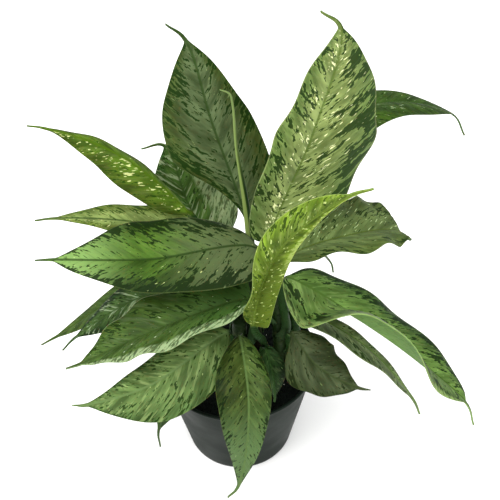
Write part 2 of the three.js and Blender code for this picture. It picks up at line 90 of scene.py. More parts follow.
# cane, at: height of the stalk's foot; az: side of the cane it leaves from (degrees from +X)
# neck, mid, tip, tail: points the midrib runs through, tail being the end of the drip tip
# lean: how far the stalk leans off the cane at the sheath's top
# peaks, bases, tapers: form of each half's outline
# halves: share of the width each half has; scallop: depth, count and start of the outline's waves
# lifts: half, place, spread and degrees by which that half is raised there
# face: where the upper face looks at mid
# fold: how far each half rises from the midrib; droop: how far it bends back toward its margin
# wave: height, count and start of the margin's waves
LEAVES = [
    dict(name="leaf_tall_back", cane="back", at=192, az=100, width=86, peaks=(0.41, 0.28),
         bases=(2.3, 1.5), tapers=(1.1, 1.15), halves=(1, 0.86), neck=(14, 30, 262),
         mid=(-14, 35, 374), tip=(-29, 19, 457), tail=(-41, 6, 476), face=(0.1, -1, 0.3),
         fold=(14, 14), droop=(30, 30), wave=(2, 3, 0)),
    dict(name="leaf_tall_front", cane="right", at=182, az=190, width=90, peaks=(0.38, 0.38),
         bases=(0.5, 0.42), tapers=(0.75, 1.2), halves=(0.72, 1.22), scallop=(0.03, 4, 0.1),
         neck=(31, -12, 281), mid=(64, -22, 400), tip=(76, -50, 500), tail=(62, -60, 516),
         face=(0.25, -1, 0.3), fold=(26, 12), droop=(30, 30), wave=(2, 3, 0.3)),
    dict(name="leaf_right_back", cane="back", at=172, az=35, width=54, tapers=(1.12, 0.85),
         halves=(1, 1.15), neck=(51, 45, 281), mid=(115, 72, 360), tip=(203, 100, 334),
         tail=(220, 104, 307), face=(0, 0, 1), fold=(20, 20), droop=(40, 40), wave=(1, 3, 0)),
    dict(name="leaf_right_mid", cane="right", at=156, az=60, width=76, peaks=(0.7, 0.5),
         tapers=(0.24, 0.34), halves=(1.25, 0.85), scallop=(0.05, 4, 0.3), neck=(46, 15, 232),
         mid=(123, 44, 241), tip=(162, 62, 224), tail=(167, 63, 216), face=(0, 0.05, 1), fold=(24, 24),
         droop=(30, 30), wave=(3, 3.5, 0)),
    dict(name="leaf_young", cane="right", at=132, az=225, width=36, peaks=(0.7, 0.15),
         bases=(0.6, 0.3), tapers=(0.9, 1.4), halves=(1.2, 0.85), lifts=((0, 0.28, 0.16, 50),),
         neck=(17, -49, 217), mid=(40, -62, 322), tip=(88, -72, 380), tail=(104, -74, 387),
         face=(0.2, -0.75, 0.6), fold=(25, 25), droop=(20, 20), wave=(0.6, 3, 0)),
    dict(name="leaf_left_high", cane="back", at=172, az=200, width=56, lean=8, peaks=(0.3, 0.42),
         tapers=(1.4, 1.12), halves=(0.84, 0.45), scallop=(0.05, 3, 0), neck=(-38, 30, 280),
         mid=(-96, 30, 349), tip=(-147, 24, 379), tail=(-161, 20, 385), face=(0.4, -0.5, 0.8),
         fold=(-14, -24), droop=(30, 30), wave=(1, 3, 0)),
    dict(name="leaf_left_back", cane="back", at=138, az=170, width=48, lean=8, tapers=(1.3, 1.12),
         halves=(0.7, 1), neck=(-18, 42, 239), mid=(-96, 44, 261), tip=(-163, 40, 270),
         tail=(-181, 38, 270), face=(0, -0.1, 1), fold=(18, 18), droop=(40, 40), wave=(1, 3, 0)),
    dict(name="leaf_left_main", cane="left", at=164, az=50, width=78, peaks=(0.2, 0.5),
         bases=(0.3, 0.8), tapers=(0.95, 1.45), halves=(0.96, 1.05), neck=(21, -5, 268),
         mid=(-71, -28, 280), tip=(-151, -30, 284), tail=(-166, -30, 284), face=(0, -0.35, 1),
         fold=(14, 14), droop=(36, 36), wave=(2, 3, 0)),
    dict(name="leaf_left_strip", cane="back", at=116, az=215, width=56, lean=8, halves=(1, 0.7),
         neck=(-20, 22, 194), mid=(-84, 35, 188), tip=(-186, 22, 126), tail=(-202, 20, 117),
         face=(0, -0.2, 1), fold=(20, 20), droop=(40, 40), wave=(1, 3, 0)),
    dict(name="leaf_left_low_back", cane="left", at=142, az=110, width=64, lean=7, halves=(1, 0.8),
         neck=(-2, -6, 214), mid=(-83, 4, 203), tip=(-155, -8, 160), tail=(-171, -10, 143),
         face=(0, -0.3, 1), fold=(16, 16), droop=(40, 40), wave=(1, 3, 0)),
    dict(name="leaf_left_low", cane="left", at=152, az=320, width=78, lean=6, bases=(0.66, 0.22),
         halves=(0.78, 0.83), neck=(16, -31, 231), mid=(-74, -56, 219), tip=(-135, -74, 200),
         tail=(-148, -76, 197), face=(-0.1, -0.1, 1), fold=(30, 30), droop=(30, 30), wave=(3, 4, 0)),
    dict(name="leaf_front_left", cane="left", at=128, az=230, width=76, lean=7, peaks=(0.36, 0.36),
         tapers=(1.4, 1.4), halves=(1, 0.6), neck=(-6, -40, 198), mid=(-75, -84, 181),
         tip=(-130, -104, 181), tail=(-139, -108, 187), face=(-0.3, -0.7, 1), fold=(14, 14),
         droop=(36, 36), wave=(2, 3, 0)),
    dict(name="leaf_front_drop", cane="left", at=116, az=280, width=56, lean=8, peaks=(0.4, 0.4),
         bases=(1.1, 1.1), tapers=(1.25, 1.25), halves=(0.72, 1), neck=(4, -46, 201),
         mid=(11, -112, 187), tip=(-1, -128, 84), tail=(-11, -129, 66), face=(0, -1, 0.3),
         fold=(26, 26), droop=(40, 40), wave=(2, 3, 0)),
    dict(name="leaf_front_small", cane="right", at=110, az=200, width=26, lean=10, neck=(27, -45, 180),
         mid=(33, -60, 164), tip=(35, -66, 137), tail=(35, -68, 130), face=(0.3, -0.8, 0.5),
         fold=(40, 40), droop=(40, 40), wave=(0, 3, 0)),
    dict(name="leaf_front_right", cane="right", at=118, az=310, width=58, lean=8, bases=(0.9, 1.8),
         tapers=(1.0, 1.0), halves=(0.88, 0.98), scallop=(0.04, 4, 0.2), neck=(50, -36, 191),
         mid=(73, -66, 180), tip=(109, -80, 165), tail=(120, -82, 164), face=(0.2, -0.6, 1),
         fold=(12, 12), droop=(36, 36), wave=(2, 3, 0)),
    dict(name="leaf_right_low", cane="right", at=142, az=350, width=46, lean=8, peaks=(0.34, 0.34),
         bases=(0.6, 0.6), tapers=(1.2, 1.2), halves=(0.32, 1), scallop=(0.1, 3, 0.3),
         neck=(54, -12, 196), mid=(114, -52, 192), tip=(163, -74, 137), tail=(171, -77, 119),
         face=(0.3, 0, 1), fold=(34, 34), droop=(36, 36), wave=(1, 3, 0)),
    dict(name="leaf_right_long", cane="right", at=164, az=300, width=74, peaks=(0.46, 0.46),
         bases=(0.6, 0.8), tapers=(0.5, 0.95), halves=(1, 1.15),
         lifts=((1, 0.2, 0.12, -55), (1, 0.42, 0.12, 25), (1, 0.6, 0.2, 50)), neck=(45, -24, 250),
         mid=(115, -70, 236), tip=(197, -108, 179), tail=(209, -111, 149), face=(0.35, 0, 1),
         fold=(20, 20), droop=(40, 40), wave=(2, 3, 0)),
    dict(name="leaf_back_left", cane="back", at=152, az=90, width=84, lean=8, peaks=(0.36, 0.36),
         bases=(1.1, 1.1), neck=(-14, 57, 195), mid=(-43, 75, 254), tip=(-61, 77, 322),
         tail=(-81, 73, 321), face=(0.2, -1, 0.5), fold=(2, 20), droop=(14, 30), wave=(3, 3, 0)),
    dict(name="leaf_back_right", cane="back", at=120, az=60, width=44, lean=8, neck=(32, 45, 203),
         mid=(66, 68, 207), tip=(99, 82, 166), tail=(103, 83, 150), face=(0.3, 0.3, 1), fold=(18, 18),
         droop=(36, 36), wave=(1, 3, 0)),
    dict(name="leaf_front_under", cane="left", at=112, az=150, width=46, lean=8, neck=(-20, -30, 160),
         mid=(-56, -54, 142), tip=(-77, -72, 95), tail=(-78, -74, 69), face=(-0.5, -0.5, 1),
         fold=(18, 18), droop=(36, 36), wave=(0, 3, 0)),
]

# ---- colours --------------------------------------------------------------------------------
# centre, edge: ground colour beside the midrib and at the margin
# spread: how far out the centre colour reaches
# blotch, fleck: colours of the dark blotches and the cream flecks
# dark, pale: their amounts on each half
# verge: share of a half from which blotches thicken toward the margin, and how much
# streak: how strongly pale stripes follow the side veins; rib: colour of the midrib line, on most leaves
# darker as painted shade of its channel
# near: share of a half that cream flecks reach out to; tint: colour each half is multiplied by
# foot: colour toward the blade's foot, and how far along the blade it reaches
# head: colour toward its tip, and where it begins
# rim: strength of the painted highlight along the very margin; under: colour of the underside
# hem: half (-1 or 1), share of it that is plain, amount of the pale mottled strip at its margin,
#      and where along the blade that begins
LOOK = dict(centre=0x4d6631, edge=0x3a5224, blotch=0x142a10, fleck=0xa3b26a, rib=0x2c4219, spread=0.55,
            dark=(0.7, 0.7), pale=(0.1, 0.1), verge=(0.75, 0.3), streak=0.08, hem=(0, 0.8, 0.0, 0.0),
            near=0.6, tint=(0xffffff, 0xffffff), foot=(0x000000, 0.0), head=(0x000000, 0.0), rim=0.15,
            under=0x4f6a3e)
LOOKS = {
    "leaf_tall_back": dict(centre=0x60704c, edge=0x4e6030, dark=(1.3, 1.3), pale=(0.15, 0.3), spread=0.6,
                           fleck=0x7e925a, verge=(0.66, 0.35), streak=0.05, blotch=0x122c04),
    "leaf_tall_front": dict(centre=0x88985a, edge=0x748c4c, blotch=0x0e2802, fleck=0xe6ecb0, rib=0x4e6226,
                            dark=(1.1, 1.9), pale=(1.05, 0.8), spread=0.6, verge=(0.62, 0.2), near=0.36),
    "leaf_right_back": dict(centre=0x364e1c, edge=0x324a14, blotch=0x122801, dark=(0.4, 0.4),
                            pale=(0.5, 0.6), fleck=0x94a87c),
    "leaf_right_mid": dict(centre=0x667846, edge=0x5c6e38, blotch=0x142806, fleck=0xa4b880, rib=0x465620,
                           dark=(1.1, 0.9), pale=(0.7, 0.3), spread=0.7, streak=0.02),
    "leaf_young": dict(centre=0x5e7428, edge=0x7c982e, blotch=0x243a04, fleck=0xb6c676, rib=0x5c7028,
                       dark=(1.1, 0.2), pale=(0.6, 0.75), spread=0.5, verge=(0.9, 0.05),
                       tint=(0xffffff, 0xdcdcc8), foot=(0x4a5b1a, 0.55), near=0.9, streak=0.3, rim=0.5,
                       hem=(1, 0.72, 0.9, 0.42)),
    "leaf_left_high": dict(centre=0x54701e, edge=0x485c1a, blotch=0x1c3802, fleck=0xc0c884, rib=0x405a08,
                           dark=(0.5, 0.15), pale=(1.25, 0.1), verge=(0.9, 0.1), near=0.5),
    "leaf_left_back": dict(centre=0x849656, edge=0x687c36, blotch=0x243c05, fleck=0xc8ca88,
                           dark=(0.7, 1.2), pale=(0.9, 0.4), verge=(0.8, 0.4)),
    "leaf_left_main": dict(centre=0x4a6824, edge=0x2c4414, blotch=0x0c1e02, fleck=0xacba76, rib=0x1a2e08,
                           dark=(0.9, 0.9), pale=(0.05, 0.1), spread=0.7, streak=0.08, verge=(0.45, 1.15),
                           foot=(0x4c5838, 0.5), tint=(0xd4d8d0, 0xffffff), head=(0x70904e, 0.55)),
    "leaf_left_strip": dict(centre=0x445a2c, edge=0x3a4e22, blotch=0x1c3403, dark=(0.1, 0.1),
                            pale=(0.0, 0.0), rib=0x36481a, verge=(0.9, 0.1)),
    "leaf_left_low_back": dict(centre=0x40582c, edge=0x1c3416, blotch=0x0a1c01, dark=(1.0, 1.0),
                               streak=0.8, fleck=0xa8ba94, verge=(0.6, 0.8)),
    "leaf_left_low": dict(centre=0x445c28, edge=0x405822, blotch=0x102402, fleck=0xb8cca0,
                          dark=(0.7, 1.0), rib=0x30441a, hem=(-1, 0.74, 0.95, 0.0), foot=(0x2f4a1c, 0.45),
                          rim=0.5, pale=(0.05, 0.05)),
    "leaf_front_left": dict(centre=0x5e7642, edge=0x4c6638, blotch=0x142a03, fleck=0x9cb070,
                            dark=(0.8, 0.8), streak=0.55, spread=0.7, rib=0x586e40),
    "leaf_front_drop": dict(centre=0x435628, edge=0x304419, blotch=0x081801, fleck=0x829856, rib=0x4c6234,
                            dark=(0.8, 0.8), streak=0.25, spread=0.7, tint=(0xffffff, 0xd0ccba),
                            head=(0x4a6238, 0.45)),
    "leaf_front_small": dict(centre=0x263e1c, edge=0x182c10, blotch=0x0a1a04, fleck=0x6a8250,
                             rib=0x2c4620, dark=(0.7, 0.7), pale=(0.0, 0.0), streak=0.35),
    "leaf_front_right": dict(centre=0x485238, edge=0x3a4628, blotch=0x101c02, fleck=0x56663c,
                             rib=0x344022, dark=(0.6, 0.9), spread=0.7, streak=0.02),
    "leaf_right_low": dict(centre=0x809260, edge=0x6e7e5a, blotch=0x1a3003, rib=0x5a743a, dark=(1.0, 1.0),
                           under=0x4a6432),
    "leaf_right_long": dict(centre=0x688444, edge=0x4e6a34, blotch=0x081c01, fleck=0x9cb470, rib=0x38501c,
                            dark=(1.3, 1.3), pale=(0.1, 0.1), streak=0.3, hem=(1, 0.84, 0.6, 0.0),
                            rim=0.6, under=0x5a7842, verge=(0.55, 0.8), tint=(0xe4ece0, 0xffffff)),
    "leaf_back_left": dict(centre=0x46642c, edge=0x365626, blotch=0x122803, fleck=0xb6c69a, rib=0x30481c,
                           dark=(0.8, 0.8), pale=(0.0, 0.0), streak=0.8, hem=(1, 0.45, 0.8, 0.0)),
    "leaf_back_right": dict(centre=0x35501f, edge=0x2b4519),
    "leaf_front_under": dict(centre=0x35501f, edge=0x2b4519),
}
# stalk colours: their own dark tones made darker still, as painted shade of the plant's crowded middle
STALK = 0x16290f               # leaf stalks
STALK_LIT = 0x24401a           # paler cells along them
STALK_PALE = 0x33492a          # their clasping foot
LEAF_SHEEN = 0.05              # strength of the shine on leaves, 0.5 being that of plain plastic
CLOUD_SHADES = (0xa0a896, 0xfafcf6)  # darkest and lightest of the broad clouds on a blade
HALF_EDGE = 0.02               # how softly the two halves' values meet at the midrib
FEATHER = 0.5                  # how far the side veins carry the centre's colour outward
FEATHER_ENDS = (0.24, 0.26)    # how far inside and outside a leaf's spread it gives way
# noise level above which marks show where their amount is none, how much their amount lowers that,
# softness of their edges, and how fully they cover what is below
BLOTCHES = (0.67, 0.2, 0.04, 0.93)
FLECKS = (0.73, 0.15, 0.05, 0.85)
PATTERN_STEP = 3.7             # shift of the pattern from one leaf to the next

# ---- fineness -------------------------------------------------------------------------------
RINGS_SHEATH = 6
RINGS_STALK = 14
RINGS_BLADE = 84
RINGS_TAIL = 8
TAIL_W = 0.5                   # half width of a drip tip's end, 0.9 in the CAD model
# shares of a half's width where the skin has points: close together at midrib and margin
SHARES = (0.03, 0.075, 0.14, 0.23, 0.34, 0.46, 0.58, 0.7, 0.81, 0.91, 0.975, 1.0)
QUILT_SPACING = 0.15           # distance between side veins along the midrib, as a share of a blade's width
QUILT_H = 0.009                # height of the swelling between them, as a share of that width
GROOVE = 0.7                   # depth of the channel over the midrib
VEIN_LEAN = (0.8, 1.7)         # slope of the side veins at the blade's foot and tip
VEIN_CURVE = 0.006             # how much they bend forward on their way out, per millimetre
VEIN_SHADE = 0.25              # how much darker they are than the blade
GROOVE_SPREAD = 1.5            # distance over which the channel over the midrib fades
RIB_SPREAD = 2.8               # distance over which the midrib's own thickness fades
NEAR = 0.002                   # step along a curve over which its direction is taken
SHEATH_BLEND = 0.2             # stretch of stalk in which the sheath's section turns into the stalk's
NECK_BLEND = 0.06              # stretch of blade in which the stalk's turns into the blade's


# ---- helpers --------------------------------------------------------------------------------
def mix(a, b, f):
    return a + (b - a) * f


def smooth(f):
    x = np.clip(f, 0, 1)
    return x * x * (3 - 2 * x)


def unit(v):
    return v / np.linalg.norm(v, axis=-1, keepdims=True)


def square_to(v, t):
    """v made perpendicular to the direction t."""
    return unit(v - np.dot(v, t) * t)


def along(knots, s):
    """Points at s on the smooth curve through the knots, the first at 0 and the next at 1."""
    p = np.vstack([2 * knots[0] - knots[1], knots, 2 * knots[-1] - knots[-2]])
    k = np.clip(np.floor(s).astype(int), 0, len(knots) - 2)
    f = (s - k)[:, None]
    p0, p1, p2, p3 = p[k], p[k + 1], p[k + 2], p[k + 3]
    d0 = np.sum((p1 - p0) ** 2, axis=1, keepdims=True) ** 0.25
    d1 = np.sum((p2 - p1) ** 2, axis=1, keepdims=True) ** 0.25
    d2 = np.sum((p3 - p2) ** 2, axis=1, keepdims=True) ** 0.25
    m1 = ((p1 - p0) / d0 - (p2 - p0) / (d0 + d1) + (p2 - p1) / d1) * d1
    m2 = ((p2 - p1) / d1 - (p3 - p1) / (d1 + d2) + (p3 - p2) / d2) * d1
    return p1 + m1 * f + (3 * (p2 - p1) - 2 * m1 - m2) * f ** 2 + (2 * (p1 - p2) + m1 + m2) * f ** 3


def tangents(knots, s):
    last = len(knots) - 1
    return unit(along(knots, np.minimum(s + NEAR, last)) - along(knots, np.maximum(s - NEAR, 0)))


def add_piece(name, points, faces, material, node, smooth_shaded=True, attributes=()):
    """A mesh piece made of points in millimetres, which stands for one node of the CAD model."""
    mesh = bpy.data.meshes.new(name)
    mesh.from_pydata([tuple(p) for p in np.asarray(points) * MM], [], faces)
    for label, values in attributes:
        layer = mesh.attributes.new(label, "FLOAT_VECTOR", "POINT")
        layer.data.foreach_set("vector", np.asarray(values, dtype=np.float32).ravel())
    mesh.polygons.foreach_set("use_smooth", [smooth_shaded] * len(mesh.polygons))
    mesh.materials.append(material)
    obj = bpy.data.objects.new(name, mesh)
    bpy.context.collection.objects.link(obj)
    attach(obj, "root")
    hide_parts(node)
    return obj


def tube_faces(rings, size):
    """Four-sided faces between rings of equal size."""
    faces = []
    for i in range(rings - 1):
        for j in range(size):
            k = (j + 1) % size
            faces.append((i * size + j, i * size + k, (i + 1) * size + k, (i + 1) * size + j))
    return faces


def closed_tube_faces(rings, size):
    last = (rings - 1) * size
    ends = [tuple(reversed(range(size))), tuple(range(last, last + size))]
    return tube_faces(rings, size) + ends


def circle(r, z, sides):
    return [(r * math.cos(2 * math.pi * j / sides), r * math.sin(2 * math.pi * j / sides), z)
            for j in range(sides)]


# ---- material graphs ------------------------------------------------------------------------
def linear(colour):
    """A 0xRRGGBB colour as the linear values that a shader takes."""
    parts = [(colour >> shift & 255) / 255 for shift in (16, 8, 0)]
    return tuple(c / 12.92 if c <= 0.04045 else ((c + 0.055) / 1.055) ** 2.4 for c in parts) + (1.0,)


class Graph:
    """A material's nodes, added one call at a time. Values are numbers, tuples or other nodes' sockets."""

    def __init__(self, name):
        self.material = bpy.data.materials.new(name)
        self.material.use_nodes = True
        self.tree = self.material.node_tree
        self.tree.nodes.clear()

    def node(self, kind, inputs, **settings):
        n = self.tree.nodes.new(kind)
        for key, value in settings.items():
            setattr(n, key, value)
        for key, value in inputs.items():
            if isinstance(value, bpy.types.NodeSocket):
                self.tree.links.new(value, n.inputs[key])
            else:
                n.inputs[key].default_value = value
        return n

    def math(self, operation, a, b=0.0):
        return self.node("ShaderNodeMath", {0: a, 1: b}, operation=operation).outputs[0]

    def blend(self, factor, a, b, mode="MIX"):
        a, b = [linear(c) if isinstance(c, int) else c for c in (a, b)]
        n = self.node("ShaderNodeMix", {0: factor, 6: a, 7: b}, data_type="RGBA", blend_type=mode)
        return n.outputs[2]

    def ramp(self, value, low, high, to_low=0.0, to_high=1.0):
        """Runs smoothly from to_low, where value is low, to to_high, where it is high."""
        n = self.node("ShaderNodeMapRange", {0: value, 1: low, 2: high, 3: to_low, 4: to_high})
        n.interpolation_type = "SMOOTHSTEP"
        return n.outputs[0]

    def attribute(self, name):
        return self.node("ShaderNodeAttribute", {}, attribute_name=name).outputs["Vector"]

    def object_place(self):
        return self.node("ShaderNodeTexCoord", {}).outputs["Object"]

    def parts(self, vector):
        return self.node("ShaderNodeSeparateXYZ", {0: vector}).outputs

    def noise(self, vector, scale, detail, offset=0.0, roughness=0.5):
        """Smooth noise at the vector, first scaled and shifted."""
        place = self.node("ShaderNodeVectorMath", {0: vector, 1: scale, 2: (offset, offset, offset)},
                          operation="MULTIPLY_ADD").outputs[0]
        n = self.node("ShaderNodeTexNoise",
                      {"Vector": place, "Scale": 1.0, "Detail": detail, "Roughness": roughness})
        return n.outputs["Fac"]

    def bump(self, height, strength, distance):
        n = self.node("ShaderNodeBump", {"Height": height, "Strength": strength, "Distance": distance})
        return n.outputs[0]

    def finish(self, colour, **inputs):
        """Ends the graph in one principled shader and returns the material."""
        labels = {k.replace("_", " "): v for k, v in inputs.items()}
        shader = self.node("ShaderNodeBsdfPrincipled", {"Base Color": colour, **labels})
        out = self.tree.nodes.new("ShaderNodeOutputMaterial")
        self.tree.links.new(shader.outputs[0], out.inputs[0])
        return self.material


def leaf_material(name, look, seed, spacing):
    g = Graph(name)
    vein = g.attribute("vein")
    u, t, top = g.parts(g.attribute("place"))
    across, forward, _ = g.parts(vein)
    share = g.math("ABSOLUTE", u)

    def of_half(label):
        left, right = look[label]
        return g.ramp(u, -HALF_EDGE, HALF_EDGE, left, right)

    def patches(scale, step, roughness=0.55):
        return g.noise(vein, scale, 2, seed + step, roughness)

    def marks(level, amount, start, gain, edge, cover):
        limit = g.math("SUBTRACT", start, g.math("MULTIPLY", amount, gain))
        return g.ramp(g.math("SUBTRACT", level, limit), 0.0, edge, 0.0, cover)

    streaks = patches((0.03, 0.19, 0.2), 0)
    clouds = patches((0.05, 0.08, 0.12), 5)
    drifts = patches((0.06, 0.1, 0.12), 9)
    splashes = patches((0.18, 0.3, 0.4), 11, 0.5)
    crumbs = patches((0.45, 0.75, 1.0), 13)
    grains = patches((0.22, 0.42, 0.6), 17, 0.4)

    # the pale centre feathers out into the margin's green along the side veins
    feathered = g.math("ADD", share, g.math("MULTIPLY", g.math("SUBTRACT", streaks, 0.5), FEATHER))
    inside, outside = FEATHER_ENDS
    outer = g.ramp(feathered, look["spread"] - inside, look["spread"] + outside)
    colour = g.blend(outer, look["centre"], look["edge"])
    colour = g.blend(1.0, colour, g.blend(g.ramp(clouds, 0.3, 0.7), *CLOUD_SHADES), "MULTIPLY")

    # pale stripes along the side veins
    stripes = g.math("MULTIPLY", g.ramp(streaks, 0.52, 0.66), look["streak"])
    colour = g.blend(stripes, colour, g.blend(0.5, colour, look["fleck"]))

    # the two halves' tints, and other colours toward the blade's foot and tip
    halves = g.ramp(u, -HALF_EDGE, HALF_EDGE)
    colour = g.blend(1.0, colour, g.blend(halves, *look["tint"]), "MULTIPLY")
    shade, reach = look["foot"]
    if reach:
        colour = g.blend(g.ramp(t, reach, 0.4 * reach, 0.0, 0.85), colour, shade)
    shade, start = look["head"]
    if start:
        colour = g.blend(g.ramp(t, start, start + 0.3, 0.0, 0.85), colour, shade)

    # dark blotches, in drifts, and thicker toward the margin
    start, verge = look["verge"]
    amount = g.math("MULTIPLY", g.ramp(clouds, 0.4, 0.6), of_half("dark"))
    amount = g.math("MULTIPLY", amount, g.ramp(share, 0.05, 0.7, 0.35, 1.0))
    amount = g.math("ADD", amount, g.math("MULTIPLY", g.ramp(share, start, 1.0), verge))
    level = g.math("ADD", splashes, g.math("MULTIPLY", g.math("SUBTRACT", crumbs, 0.5), 0.4))
    colour = g.blend(marks(level, amount, *BLOTCHES), colour, look["blotch"])

    # cream flecks, in drifts of their own
    amount = g.math("MULTIPLY", g.ramp(drifts, 0.36, 0.58), of_half("pale"))
    amount = g.math("MULTIPLY", amount, g.ramp(share, look["near"] + 0.3, look["near"], 0.1, 1.0))
    colour = g.blend(marks(grains, amount, *FLECKS), colour, look["fleck"])

    # the pale mottled strip along one margin
    side, start, amount, begin = look["hem"]
    if amount:
        strip = g.ramp(g.math("MULTIPLY", u, float(side)), start - 0.08, start + 0.06)
        strip = g.math("MULTIPLY", strip, g.ramp(t, begin - 0.1, begin + 0.1))
        mottled = g.math("MULTIPLY", strip, g.ramp(level, 0.56, 0.46, 0.2, amount))
        colour = g.blend(mottled, colour, g.blend(0.4, look["centre"], look["fleck"]))

    # side veins, midrib line (mostly painted shade of its channel), painted highlight along the margin, and
    # underside
    phase = g.math("SINE", g.math("MULTIPLY", forward, math.pi / spacing))
    ridge = g.math("POWER", g.math("ABSOLUTE", phase), 0.4)
    veined = g.math("MULTIPLY", g.ramp(ridge, 0.6, 0.2), g.ramp(share, 0.9, 0.3, 0.0, VEIN_SHADE))
    colour = g.blend(veined, colour, g.blend(0.5, look["edge"], look["blotch"]))
    # midrib line: painted shade of the channel over it on most leaves, its own paler colour on a few
    colour = g.blend(g.ramp(across, 1.6, 0.5, 0.0, 0.8), colour, look["rib"])
    # painted highlight: a pale line where the margin catches light
    rim = g.ramp(share, 0.97, 0.99, 0.0, look["rim"])
    colour = g.blend(rim, colour, g.blend(0.4, look["centre"], look["fleck"]))
    under = g.blend(0.6, g.blend(0.35, colour, look["edge"]), look["under"])
    colour = g.blend(g.ramp(top, 0.4, 0.6), under, colour)

    # stalk, paler where it clasps the cane, in colours darkened by painted shade of the plant's middle
    stalk = g.blend(g.ramp(t, -1.3, -0.6), STALK_PALE, g.blend(grains, STALK, STALK_LIT))
    colour = g.blend(g.ramp(t, -0.06, 0.03), stalk, colour)

    # relief of the side veins, and fine grain
    height = g.math("ADD", ridge, g.math("MULTIPLY", grains, 0.35))
    normal = g.bump(height, 0.6, 0.0006)
    rough = g.ramp(clouds, 0.3, 0.7, 0.4, 0.54)
    return g.finish(colour, Roughness=rough, Normal=normal, Specular_IOR_Level=LEAF_SHEEN,
                    Subsurface_Weight=0.06, Subsurface_Scale=0.004)


def cane_material():
    g = Graph("cane")
    place = g.object_place()
    z = g.parts(place)[2]
    grain = g.noise(place, (260, 260, 60), 3)
    patches = g.noise(place, (60, 60, 90), 2, 4.0)
    # the cane's own colours, above and at the foot, made darker as painted shade of the plant's crowded
    # middle
    shaded_green = g.blend(grain, 0x14260e, 0x283e18)
    shaded_brown = g.blend(grain, 0x1c180f, 0x2e291a)
    colour = g.blend(g.ramp(z, 0.150, 0.106), shaded_green, shaded_brown)
    colour = g.blend(g.ramp(patches, 0.56, 0.66, 0.0, 0.4), colour, 0x555f3a)
    rough = g.ramp(grain, 0.3, 0.7, 0.42, 0.62)
    return g.finish(colour, Roughness=rough, Normal=g.bump(grain, 0.35, 0.0006), Specular_IOR_Level=0.15)


def spear_material():
    g = Graph("new_leaf_spear")
    place = g.attribute("place")
    turn, up, _ = g.parts(place)
    grain = g.noise(place, (9, 14, 1), 3)
    pale = g.blend(g.ramp(up, 0.3, 0.8), 0x7a8c4c, 0x708450)
    colour = g.blend(g.math("MULTIPLY", grain, 0.4), pale, 0x54682e)
    # painted shade: the side turned to the right is darker low down, leaving a lit strip on the left
    shade = g.ramp(g.math("COSINE", g.math("MULTIPLY", turn, 2 * math.pi)), -0.1, 0.35)
    colour = g.blend(g.math("MULTIPLY", shade, g.ramp(up, 0.62, 0.36)), colour, 0x1c3410)
    rough = g.ramp(grain, 0.3, 0.7, 0.36, 0.48)
    return g.finish(colour, Roughness=rough, Normal=g.bump(grain, 0.2, 0.0005),
                    Specular_IOR_Level=LEAF_SHEEN)


def pot_material():
    g = Graph("pot_plastic")
    place = g.object_place()
    flow = g.noise(place, (30, 30, 4), 3)
    dust = g.noise(place, (900, 900, 900), 2)
    smears = g.noise(place, (14, 14, 26), 3, 3.0)
    colour = g.blend(flow, 0x07100a, 0x0f1a12)
    colour = g.blend(g.ramp(smears, 0.5, 0.75, 0.0, 0.4), colour, 0x1a211c)
    colour = g.blend(g.ramp(dust, 0.68, 0.74, 0.0, 0.25), colour, 0x343a34)
    rough = g.math("ADD", g.ramp(smears, 0.35, 0.7, 0.40, 0.56), g.math("MULTIPLY", dust, 0.06))
    return g.finish(colour, Roughness=rough, Normal=g.bump(dust, 0.12, 0.0003), Specular_IOR_Level=0.07)


def soil_material():
    g = Graph("potting_mix")
    place = g.object_place()
    fine = g.noise(place, (700, 700, 700), 4)
    coarse = g.noise(place, (160, 160, 160), 3, 2.0)
    # near black: the mix's own dark colour, made darker still as painted shade under the leaves
    colour = g.blend(coarse, 0x060d0a, 0x101612)
    colour = g.blend(g.ramp(fine, 0.6, 0.72, 0.0, 0.5), colour, 0x30281e)
    return g.finish(colour, Roughness=g.ramp(fine, 0.3, 0.7, 0.85, 0.97), Normal=g.bump(fine, 0.8, 0.001),
                    Specular_IOR_Level=0.12)


def perlite_material():
    g = Graph("perlite")
    fine = g.noise(g.object_place(), (1500, 1500, 1500), 3)
    colour = g.blend(fine, 0x8f8d84, 0xc9c8c0)
    return g.finish(colour, Roughness=g.ramp(fine, 0.3, 0.7, 0.8, 0.95), Normal=g.bump(fine, 0.6, 0.0005))


# ---- leaves ---------------------------------------------------------------------------------
def outline(t, peak, base, taper):
    """Share of the widest half width at t along the blade."""
    if t < peak:
        return math.sin(math.pi / 2 * (t / peak) ** base)
    return max(0.0, math.sin(math.pi / 2 * (1 - t) / (1 - peak))) ** taper


def sheath_section(s, u, inner):
    """Crescent that hugs the cane and narrows upward: its inner and outer face."""
    a = u * math.radians(mix(*SHEATH_WRAP, smooth(s)))
    thick = mix(*SHEATH_T, smooth(s)) * (1 - SHEATH_THIN * u * u)
    upper = (inner * np.sin(a), inner * (1 - np.cos(a)))
    lower = ((inner + thick) * np.sin(a), inner - (inner + thick) * np.cos(a))
    return np.stack(upper + lower)


def stalk_section(s, u):
    """Half round with a shallow channel."""
    r = mix(*STALK_R, min(s - 1, 1))
    a = u * math.pi / 2
    channel = CHANNEL * r * u * u
    return np.stack((u * r, channel, r * np.sin(a), channel - STALK_DEPTH * r * np.cos(a) - STALK_SKIN))


